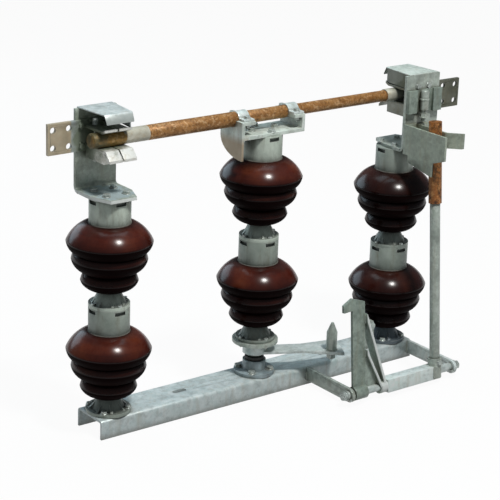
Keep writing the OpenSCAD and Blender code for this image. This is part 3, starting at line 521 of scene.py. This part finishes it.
NODE_MATS = {
    "left_upper_fittings": "lit_cast",
    "centre_upper_fittings": "lit_cast",
    "right_lower_fittings": "shaded_cast",
    "right_upper_porcelain": "shaded_glaze",
    "right_lower_porcelain": "shaded_glaze",
    "rotor_bearing": "blue_dull",
    "left_bracket": "left_plate",
    "left_hood": "left_hood",
    "right_hood": "right_hood",
    "left_jaw": "left_jaw",
    "right_jaw": "right_jaw",
    "left_terminal": "left_pad",
    "right_terminal": "right_pad",
    "blade_cradle": "cradle",
    "blade_straps": "bright",
    "blade_tips": "tip",
    "drive_lever": "bright",
    "earth_block": "dull",
    "earth_finger_left": "olive",
    "earth_finger_right": "olive",
    "earth_arm_right": "white",
    "earth_shaft": "bright",
    "earth_torque_bar": "white",
    "earth_lever": "dull",
    "earth_brace": "brace",
    "earth_blade": "brown_copper",
}
SLOT_MATS = {
    "galvanised_channel": "channel",
    "galvanised_parts": "plate",
    "cast_fittings": "cast",
    "porcelain": "glaze",
    "copper": "copper",
    "black_seal": "rubber",
}
EDGE_MM = 0.7
OTHER_EDGES_MM = {"base_channel": 0.8, "rotor_shaft": 0.6}
EDGE_TURN = math.radians(32)
NODE_CREASE, PIECE_CREASE = math.radians(40), math.radians(38)
WELD_M = 2e-6


def dress_nodes():
    slots = {s["node"]: s["material_slot"] for s in frame["record"]["subparts"]}
    for name, obj in nodes.items():
        mesh = obj.data
        key = NODE_MATS.get(name) or SLOT_MATS[slots[name]]
        mesh.materials.clear()
        mesh.materials.append(MATS[key])
        smooth(mesh)
        weld = obj.modifiers.new("weld", "WELD")
        weld.merge_threshold = WELD_M
        if "porcelain" not in name:
            bevel = obj.modifiers.new("round", "BEVEL")
            bevel.width = OTHER_EDGES_MM.get(name, EDGE_MM) * MM
            bevel.segments = 2
            bevel.limit_method = "ANGLE"
            bevel.angle_limit = EDGE_TURN
            bevel.harden_normals = False
            bevel.use_clamp_overlap = True
        crease(obj, NODE_CREASE)


def smooth(mesh):
    if "custom_normal" in mesh.attributes:
        mesh.attributes.remove(mesh.attributes["custom_normal"])
    mesh.polygons.foreach_set("use_smooth", [True] * len(mesh.polygons))


def crease(obj, angle):
    split = obj.modifiers.new("creases", "EDGE_SPLIT")
    split.split_angle = angle
    split.use_edge_sharp = False


# Small pieces built as meshes, in millimetres

HEX_POINTS = 24
WIRE_POINTS = 8
# Shares of a bolt's size: across the flats, head, nut, washer's radius and thickness
FLATS, HEAD_H, NUT_H = 1.62, 0.65, 0.8
WASHER_R, WASHER_T = 1.08, 0.17
PITCH = 1.5
BEAD_STEP, BEAD_PITCH = 1.3, 4.2
SPRING_STEPS = 18


def spot(x, y, z):
    return Vector((x, y, z))


def around(x, y, z, radius, degrees):
    a = math.radians(degrees)
    return spot(x + radius * math.cos(a), y + radius * math.sin(a), z)


def frame_axes(axis):
    """Two unit vectors square to the axis and to each other."""
    axis = axis.normalized()
    helper = XP if abs(axis.x) < 0.8 else YP
    side = (helper - axis * helper.dot(axis)).normalized()
    return side, axis.cross(side)


def ring(centre, axes, radius, count):
    """Points of a circle in the plane of two axes."""
    side, other = axes
    turns = (2 * math.pi * i / count for i in range(count))
    return [centre + (side * math.cos(a) + other * math.sin(a)) * radius for a in turns]


def resample(points, step, closed):
    """Points along a path, about a step apart."""
    if closed:
        points = points + [points[0]]
    out = []
    for a, b in zip(points, points[1:]):
        count = max(1, round((b - a).length / step))
        out += [a.lerp(b, i / count) for i in range(count)]
    if not closed:
        out.append(points[-1])
    return out


class Piece:
    """One mesh piece that collects small shapes, all in the row frame, and rides on a body."""

    def __init__(self, name, body, mat, slot="galvanised_parts"):
        self.name, self.body, self.mat, self.slot = name, body, mat, slot
        self.bm = bmesh.new()

    def rings(self, rings, closed=False):
        """Skin over rings of points, joined end to end or with a cap on each end."""
        loops = [[self.bm.verts.new(p * MM) for p in points] for points in rings]
        pairs = list(zip(loops, loops[1:]))
        if closed:
            pairs.append((loops[-1], loops[0]))
        for a, b in pairs:
            count = len(a)
            for i in range(count):
                self.bm.faces.new((a[i], a[(i + 1) % count], b[(i + 1) % count], b[i]))
        if not closed:
            self.bm.faces.new(list(reversed(loops[0])))
            self.bm.faces.new(loops[-1])

    def turned(self, at, axis, outline, count):
        """Turned shape: outline is a list of (radius, height) along the axis from the point at."""
        axes = frame_axes(axis)
        self.rings([ring(at + axis * height, axes, radius, count) for radius, height in outline])

    def hexagon(self, at, axis, flats, height, turn):
        """Hexagon head with the rounded chamfer of a real bolt on its outer face."""
        side, other = frame_axes(axis)
        inner = flats / 2
        low, high, top = [], [], []
        for i in range(HEX_POINTS):
            a = 2 * math.pi * i / HEX_POINTS
            local = (a % (math.pi / 3)) - math.pi / 6
            radius = inner / math.cos(local)
            drop = (radius - inner * 0.97) * 0.62
            d = side * math.cos(a + turn) + other * math.sin(a + turn)
            low.append(at + d * radius)
            high.append(at + d * radius + axis * (height - drop))
            top.append(at + d * inner * 0.93 + axis * height)
        self.rings([low, high, top])

    def washer(self, at, axis, radius, thick):
        e = min(0.4, thick / 3)
        self.turned(at, axis, ((radius - e, 0), (radius, e), (radius, thick - e), (radius - e, thick)), 28)

    def seat(self, at, axis, size, washer):
        """Height of the washer that it puts under a head or nut."""
        if not washer:
            return 0.0
        self.washer(at, axis, size * WASHER_R, size * WASHER_T)
        return size * WASHER_T

    def bolt(self, at, axis, size, turn, washer=True):
        """Bolt head on a washer, standing on the point at along the axis. size is the thread, turn in radians."""
        lift = self.seat(at, axis, size, washer)
        self.hexagon(at + axis * lift, axis, size * FLATS, size * HEAD_H, turn)

    def nut(self, at, axis, size, stick, turn, washer=True):
        """Nut on a washer with the threaded end of its bolt standing out by stick times its size."""
        lift = self.seat(at, axis, size, washer)
        height = size * NUT_H
        self.hexagon(at + axis * lift, axis, size * FLATS, height, turn)
        self.thread(at + axis * (lift + height - 0.2), axis, size / 2, size * stick)

    def thread(self, at, axis, radius, length):
        turns = max(1, int(length / PITCH))
        outline = [(radius * 0.96, 0)]
        for i in range(turns):
            z = length * i / turns
            outline += [(radius, z + PITCH * 0.35), (radius * 0.9, z + PITCH * 0.85)]
        outline += [(radius * 0.88, length - 0.2), (radius * 0.72, length + 0.5)]
        self.turned(at, axis, outline, 16)

    def bead(self, points, radius, closed=False):
        """Weld bead along a path: a tube whose thickness ripples along it."""
        path = resample(points, BEAD_STEP, closed)
        last = len(path) - 1
        rings, run = [], 0.0
        for i, p in enumerate(path):
            if closed:
                ahead, behind = path[(i + 1) % len(path)], path[i - 1]
            else:
                ahead, behind = path[min(i + 1, last)], path[max(i - 1, 0)]
            ripple = 0.2 * abs(math.sin(math.pi * run / BEAD_PITCH)) + 0.07 * math.sin(run * 0.73)
            r = radius * (0.86 + ripple)
            if not closed and i in (0, last):
                r *= 0.45
            rings.append(ring(p, frame_axes((ahead - behind).normalized()), r, WIRE_POINTS))
            run += (ahead - p).length
        self.rings(rings, closed)

    def spring(self, at, axis, radius, wire, length, turns):
        side, other = frame_axes(axis)
        rise = axis * (length / (2 * math.pi * turns * radius))
        steps = turns * SPRING_STEPS
        rings = []
        for i in range(steps + 1):
            t = i / steps
            a = 2 * math.pi * turns * t
            out = side * math.cos(a) + other * math.sin(a)
            along = (other * math.cos(a) - side * math.sin(a) + rise).normalized()
            centre = at + out * radius + axis * (length * t)
            rings.append(ring(centre, (out, along.cross(out)), wire, WIRE_POINTS))
        self.rings(rings)

    def done(self):
        bmesh.ops.recalc_face_normals(self.bm, faces=self.bm.faces)
        mesh = bpy.data.meshes.new(self.name)
        self.bm.to_mesh(mesh)
        self.bm.free()
        mesh.materials.append(MATS[self.mat])
        smooth(mesh)
        obj = bpy.data.objects.new(self.name, mesh)
        bpy.context.scene.collection.objects.link(obj)
        crease(obj, PIECE_CREASE)
        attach(obj, self.body)


# Fasteners, springs and welds by assembly

STACKS = (("left", -POST_X, 0.0, "base"), ("right", POST_X, 0.0, "base"), ("centre", 0.0, RISE, "rotor"))
FOOT_BOLT, FOOT_BOLT_R = 7.6, 44.3
UNIT_BOLT, UNIT_BOLT_R = 5.6, 42.3
LOW_CEMENT_Z, LOW_CEMENT = 34.5, ((25.6, 0), (27.2, 1.2), (26.8, 2.6), (25.0, 3.6))
HIGH_CEMENT_Z, HIGH_CEMENT = 193.5, ((47.4, 0), (48.4, 0.8), (48.2, 2.0), (46.9, 2.9))


def stack_fasteners():
    """Bolts of the feet and caps, and a cement line over and under each porcelain."""
    for name, x, foot_z, body in STACKS:
        bolts = Piece(f"bolts_{name}_stack", body, "bolt")
        lines = Piece(f"cement_{name}_stack", body, "cement", "cast_fittings")
        for level in (0, 1):
            z = foot_z + level * UNIT_H
            for k in range(4):
                turn = 0.4 * k + level
                if level == 0 and name != "centre":
                    bolts.bolt(around(x, 0, z + FLANGE_T, FOOT_BOLT_R, 45 + 90 * k), UP, FOOT_BOLT, turn)
                else:
                    at = around(x, 0, z + FLANGE_T, UNIT_BOLT_R, 90 * k)
                    bolts.bolt(at, UP, UNIT_BOLT, turn, washer=False)
            lines.turned(spot(x, 0, z + LOW_CEMENT_Z), UP, LOW_CEMENT, 48)
            lines.turned(spot(x, 0, z + HIGH_CEMENT_Z), UP, HIGH_CEMENT, 56)
        bolts.done()
        lines.done()


BEARING_BOLT, BEARING_BOLT_R = 9, 39.0
CRADLE_BOLT, CRADLE_BOLT_R = 9, 33.0
STRAP_BOLT, STRAP_BOLT_Y = 7.6, 28.0
PIN_NUT = 13
PIN_WELD_R, HUB_WELD_R = 13.4, 29.4
PIN_BEAD, ROTOR_BEAD = 1.9, 1.8
END_PLATE_WELD = ((-87, -40), (-84.5, -40), (-84.5, -20), (-84.5, 0), (-84.5, 20), (-84.5, 36))


def rotor_fasteners():
    """Bolts of the bearing, and bolts and welds that turn with the rotor."""
    foot = Piece("bolts_bearing", "base", "bolt")
    for k in range(4):
        foot.bolt(around(0, 0, BEARING_TOP, BEARING_BOLT_R, 45 + 90 * k), UP, BEARING_BOLT, 0.3 * k)
    foot.done()
    turning = Piece("bolts_rotor", "rotor", "bolt")
    for k in range(4):
        turning.nut(around(0, 0, HUB_PLATE_Z, UNIT_BOLT_R, 90 * k), DOWN, UNIT_BOLT, 0.4, 0.5 * k)
        turning.bolt(around(0, 0, TURN_TOP + CRADLE_T, CRADLE_BOLT_R, 90 * k), UP, CRADLE_BOLT, 0.35 * k)
    c, s = math.cos(LEVER_TURN), math.sin(LEVER_TURN)
    pin = spot(PIN_OUT * c + PIN_SIDE * s, PIN_OUT * s - PIN_SIDE * c, 0)
    turning.nut(pin + UP * LEVER_Z, DOWN, PIN_NUT, 0.3, 0.2)
    for x in STRAP_X:
        for side in (-1, 1):
            turning.bolt(spot(x, side * STRAP_BOLT_Y, BLADE_Z + STRAP_T), UP, STRAP_BOLT, 0.3 * side)
            turning.nut(spot(x, side * STRAP_BOLT_Y, BLADE_Z - CRADLE_T), DOWN, STRAP_BOLT, 0.5, 0.1)
    turning.done()
    welds = Piece("welds_rotor", "rotor", "weld")
    level = frame_axes(UP)
    welds.bead(ring(pin + UP * LEVER_TOP, level, PIN_WELD_R, 40), PIN_BEAD, closed=True)
    welds.bead(ring(UP * HUB_PLATE_Z, level, HUB_WELD_R, 56), ROTOR_BEAD, closed=True)
    welds.bead([spot(x, y, TURN_TOP - 1) for x, y in END_PLATE_WELD], ROTOR_BEAD)
    welds.done()


# Contacts: name, jaw's middle, the way out of its bracket, the fingers' grip, the stack's middle, its bolts
CONTACTS = (
    ("left", -POST_X, 1, 17.0, -POST_X, "grimy_shaded_bolt"),
    ("right", RIGHT_X, -1, 16.0, POST_X, "bolt"),
)
CONTACT_BOLT, CONTACT_BOLT_R = 9, 36.0
JAW_BOLT, JAW_NUT, JAW_BOLT_X, JAW_BOLT_Z = 7, 5, 17.0, 30.0
PAD_BOLT, PAD_BOLT_X, PAD_BOLT_Z = 7, 43.5, 22.0
# Jaw springs on their pins, from the upper finger's top
SPRING_X, SPRING_Y, SPRING_GAP = 18.5, 33.0, 0.6
SPRING_R, SPRING_WIRE, SPRING_H, SPRING_TURNS = 5.2, 1.1, 9.5, 4
SPRING_UP, SPRING_WASHER_UP, SPRING_HEAD_UP = 1.1, 11.5, 12.7
SPRING_WASHER_R, SPRING_WASHER_T = 7, 1.2
SPRING_HEAD_FLATS, SPRING_HEAD_H = 10, 4.5
SPRING_PIN_R, SPRING_NUT = 3, 6


def contact_fasteners():
    """Jaw springs and bolts, terminal bolts and foot bolts of both contacts."""
    for name, x, way, grip, post, bolt_mat in CONTACTS:
        left = name == "left"
        bolts = Piece(f"bolts_{name}_contact", "base", bolt_mat)
        outward = YP * way
        inner, outer = way * INNER_FACE_Y, way * OUTER_FACE_Y
        for k in range(4):
            bolts.bolt(around(post, 0, STACK_H + BRACKET_T, CONTACT_BOLT_R, 45 + 90 * k), UP, CONTACT_BOLT, 0.4 * k)
        for dx in (-JAW_BOLT_X, JAW_BOLT_X):
            bolts.bolt(spot(x + dx, outer, BLADE_Z + JAW_BOLT_Z), outward, JAW_BOLT, 0.2)
            bolts.nut(spot(x + dx, inner, BLADE_Z + JAW_BOLT_Z), -outward, JAW_NUT, 0.5, 0.2, washer=False)
            if left:
                bolts.bolt(spot(x + dx, outer, BLADE_Z - JAW_BOLT_Z), outward, JAW_BOLT, 0.5)
            bolts.nut(spot(x + dx, inner, BLADE_Z - JAW_BOLT_Z), -outward, JAW_NUT, 0.5, 0.4, washer=False)
        for dz in (-PAD_BOLT_Z, PAD_BOLT_Z):
            bolts.bolt(spot(x - way * PAD_BOLT_X, inner, BLADE_Z + dz), -outward, PAD_BOLT, 0.3)
            if left:
                bolts.nut(spot(x - way * PAD_BOLT_X, outer, BLADE_Z + dz), outward, PAD_BOLT, 0.5, 0.1)
        bolts.done()
        jaw = Piece(f"springs_{name}_jaw", "base", "bolt")
        face = grip + SPRING_GAP + FINGER_T
        for dx in (-SPRING_X, SPRING_X):
            at = spot(x + dx, way * SPRING_Y, BLADE_Z + face)
            under = spot(x + dx, way * SPRING_Y, BLADE_Z - face)
            jaw.spring(at + UP * SPRING_UP, UP, SPRING_R, SPRING_WIRE, SPRING_H, SPRING_TURNS)
            jaw.washer(at + UP * SPRING_WASHER_UP, UP, SPRING_WASHER_R, SPRING_WASHER_T)
            jaw.hexagon(at + UP * SPRING_HEAD_UP, UP, SPRING_HEAD_FLATS, SPRING_HEAD_H, 0.3)
            jaw.turned(under, UP, ((SPRING_PIN_R, 0), (SPRING_PIN_R, 2 * face + SPRING_HEAD_UP)), 14)
            jaw.nut(under - UP * BACKING_T, DOWN, SPRING_NUT, 0.5, 0.2)
        jaw.done()


EARTH_BOLT = 6.6
EARTH_BOLTS = ((401, 528), (401, 560), (441, 549), (441, 567))
# Guide rod, from its foot: a stem, a washer under a nut, and a body with a collar
ROD_FOOT = spot(428, -81.0, 586)
ROD_STEM = ((4.4, 0), (5.2, 1), (5.2, 9))
ROD_BODY = ((7.4, 0), (7.8, 1), (7.8, 7), (10.2, 9), (10.4, 10), (10.4, 52), (9.8, 54.5), (7.6, 56.5), (4.0, 57.6))
ROD_WASHER_UP, ROD_WASHER_R, ROD_WASHER_T = 9, 10.4, 2.4
ROD_NUT_UP, ROD_NUT_FLATS, ROD_NUT_H = 11.4, 17, 8
ROD_BODY_UP = 19.4
ROD_COLLAR_UP, ROD_COLLAR_R, ROD_COLLAR_T = 52, 11.6, 3.2
LUG_BOLT, LUG_FOOT_BOLT = 11, 9
LUG_FOOT_Y, LUG_FOOT_TOP = 21.0, 8.0


def earth_contact_fasteners():
    """Bolts and guide rod of the earthing contact, and bolts of the earthing lug."""
    bolts = Piece("bolts_earth_contact", "base", "bolt")
    for x, z in EARTH_BOLTS:
        bolts.bolt(spot(x, EARTH_FACE_Y, z), YN, EARTH_BOLT, 0.2 * (x + z))
    bolts.done()
    rod = Piece("guide_rod", "base", "plate")
    rod.turned(ROD_FOOT, UP, ROD_STEM, 24)
    rod.washer(ROD_FOOT + UP * ROD_WASHER_UP, UP, ROD_WASHER_R, ROD_WASHER_T)
    rod.hexagon(ROD_FOOT + UP * ROD_NUT_UP, UP, ROD_NUT_FLATS, ROD_NUT_H, 0.2)
    rod.turned(ROD_FOOT + UP * ROD_BODY_UP, UP, ROD_BODY, 32)
    rod.washer(ROD_FOOT + UP * ROD_COLLAR_UP, UP, ROD_COLLAR_R, ROD_COLLAR_T)
    rod.done()
    lug = Piece("bolts_earth_lug", "base", "bolt")
    lug.bolt(spot(LUG_X, LUG_Y, LUG_EYE_Z), YN, LUG_BOLT, 0.3)
    lug.nut(spot(LUG_X, LUG_Y + LUG_T, LUG_EYE_Z), YP, LUG_BOLT, 0.4, 0.1)
    lug.bolt(spot(LUG_X, LUG_Y + LUG_FOOT_Y, LUG_FOOT_TOP), UP, LUG_FOOT_BOLT, 0.2)
    lug.done()


def on_shaft(x, up, forward=0.0):
    """Point on the earthing assembly, from its place along the shaft and its height over the shaft's axis."""
    s, c = math.sin(EARTH_LEAN), math.cos(EARTH_LEAN)
    return spot(x, EARTH_Y + up * s - forward * c, EARTH_Z + up * c + forward * s)


ARM_BOLT, ARM_BOLT_Y, ARM_BOLT_Z = 4.6, -219.5, -25.5
SHAFT_NUT = 12
ARM_BEAD, BRACE_BEAD, FOOT_BEAD = 2.0, 1.6, 1.9
ARM_WELD_X, ARM_WELD_Y, ARM_WELD_Z = 4.3, -50.6, (-33, -22, -10)
SOCKET_BOLT, SOCKET_BOLT_UP, SOCKET_BOLT_OUT = 6, 24.0, 16.2
BRACE_WELD_X, BRACE_WELDS, BRACE_WELD_OUT = 176.6, ((168, 192), (84, 102)), 4.2
FOOT_WELD_X, FOOT_WELD_UP, FOOT_WELD_OUT = 387.4, (-13, 0, 14), 16.1


def earth_fasteners():
    """Bolts and welds of the earthing switch's arms and of what turns in them."""
    front = spot(0, -math.cos(EARTH_LEAN), math.sin(EARTH_LEAN))
    fixed = Piece("bolts_earth_arms", "base", "bolt")
    for x in ARM_X:
        fixed.bolt(spot(x - ARM_T / 2, ARM_BOLT_Y, ARM_BOLT_Z), XN, ARM_BOLT, 0.2, washer=False)
    fixed.done()
    welds = Piece("welds_earth_arms", "base", "weld")
    for x in ARM_X:
        for side in (-1, 1):
            welds.bead([spot(x + side * ARM_WELD_X, ARM_WELD_Y, z) for z in ARM_WELD_Z], ARM_BEAD)
    welds.done()
    moving = Piece("bolts_earth_switch", "earth_switch", "bolt")
    moving.nut(on_shaft(SHAFT_ENDS[0], 0), XN, SHAFT_NUT, 0.1, 0.3)
    moving.nut(on_shaft(SHAFT_ENDS[1], 0), XP, SHAFT_NUT, 0.1, 0.6)
    moving.bolt(on_shaft(EARTH_X, SOCKET_BOLT_UP, SOCKET_BOLT_OUT), front, SOCKET_BOLT, 0.2)
    moving.nut(on_shaft(EARTH_X, SOCKET_BOLT_UP, -SOCKET_BOLT_OUT), -front, SOCKET_BOLT, 0.5, 0.3)
    moving.done()
    beads = Piece("welds_earth_switch", "earth_switch", "weld")
    for ends in BRACE_WELDS:
        for out in (BRACE_WELD_OUT, -BRACE_WELD_OUT):
            beads.bead([on_shaft(BRACE_WELD_X, up, out) for up in ends], BRACE_BEAD)
    beads.bead([on_shaft(FOOT_WELD_X, up, FOOT_WELD_OUT) for up in FOOT_WELD_UP], FOOT_BEAD)
    beads.done()


# Camera, lamps and floor

# Lamps: name, place, what it points at, width, height, watts, colour
LAMPS = (
    ("key", (-0.07, -2.05, 4.13), (0, 0, 0.25), 0.55, 0.55, 132, (1.0, 0.99, 0.96)),
    ("sky", (0.3, 0.6, 3.4), (0, 0, 0.25), 2.4, 1.8, 26, (0.76, 0.93, 1.0)),
    ("back", (-0.6, 3.4, 1.5), (0, 0, 0.3), 2.6, 1.5, 31, (0.70, 0.88, 1.0)),
)
WORLD_COLOUR, WORLD_STRENGTH = (0.85, 0.93, 1.0, 1), 0.16
FLOOR_HALF = 40
FLOOR_GLOW = 0.95


def camera():
    cam = bpy.data.cameras.new("camera")
    cam.sensor_width = SENSOR_MM
    cam.lens = FOCAL_PX * SENSOR_MM / FRAME_PX
    cam.clip_end = CLIP_END_M
    eye = bpy.data.objects.new("camera", cam)
    back = CAMERA_RIGHT.cross(CAMERA_UP)
    place = Matrix((CAMERA_RIGHT, CAMERA_UP, back)).transposed().to_4x4()
    place.translation = CAMERA_AT * MM
    eye.matrix_world = place
    bpy.context.scene.collection.objects.link(eye)
    bpy.context.scene.camera = eye


def lamp(name, at, to, width, height, power, colour):
    data = bpy.data.lights.new(name, "AREA")
    data.shape = "RECTANGLE"
    data.color = colour
    data.size, data.size_y = width, height
    data.energy = power
    obj = bpy.data.objects.new(name, data)
    obj.location = at
    obj.rotation_euler = (Vector(to) - Vector(at)).to_track_quat("-Z", "Y").to_euler()
    bpy.context.scene.collection.objects.link(obj)


def studio():
    for values in LAMPS:
        lamp(*values)
    world = bpy.data.worlds.new("studio")
    bpy.context.scene.world = world
    world.use_nodes = True
    background = world.node_tree.nodes["Background"]
    background.inputs[0].default_value = WORLD_COLOUR
    background.inputs[1].default_value = WORLD_STRENGTH

    mesh = bpy.data.meshes.new("floor")
    s, z = FLOOR_HALF, FLOOR_Z * MM
    mesh.from_pydata([(-s, -s, z), (s, -s, z), (s, s, z), (-s, s, z)], [], [(0, 1, 2, 3)])
    floor = bpy.data.objects.new("floor", mesh)
    bpy.context.scene.collection.objects.link(floor)
    mesh.materials.append(floor_material())


def floor_material():
    """Pale floor: near white to the camera and in reflections, with the shadow still on it."""
    g = Graph("pale_floor")
    path = g.node("LightPath")
    seen = g.math("MAXIMUM", path.outputs["Is Camera Ray"], path.outputs["Is Glossy Ray"])
    seen = g.math("MAXIMUM", seen, path.outputs["Is Transmission Ray"])
    dull = g.mix(g.noise(3, 3), (0.20, 0.20, 0.19), (0.24, 0.24, 0.23))
    g.finish(Base_Color=g.mix(seen, dull, (0.86, 0.86, 0.86)), Roughness=0.9, Specular_IOR_Level=0.1)
    glow = g.node("Emission", Strength=1.0)
    both = g.node("MixShader")
    g.put(both.inputs[0], g.product(seen, FLOOR_GLOW))
    g.put(both.inputs[1], g.bsdf.outputs[0])
    g.put(both.inputs[2], glow.outputs[0])
    g.put(g.out.inputs["Surface"], both.outputs[0])
    return g.mat


camera()
studio()
dress_nodes()
stack_fasteners()
rotor_fasteners()
contact_fasteners()
earth_contact_fasteners()
earth_fasteners()

bpy.context.scene.view_settings.view_transform = "Standard"
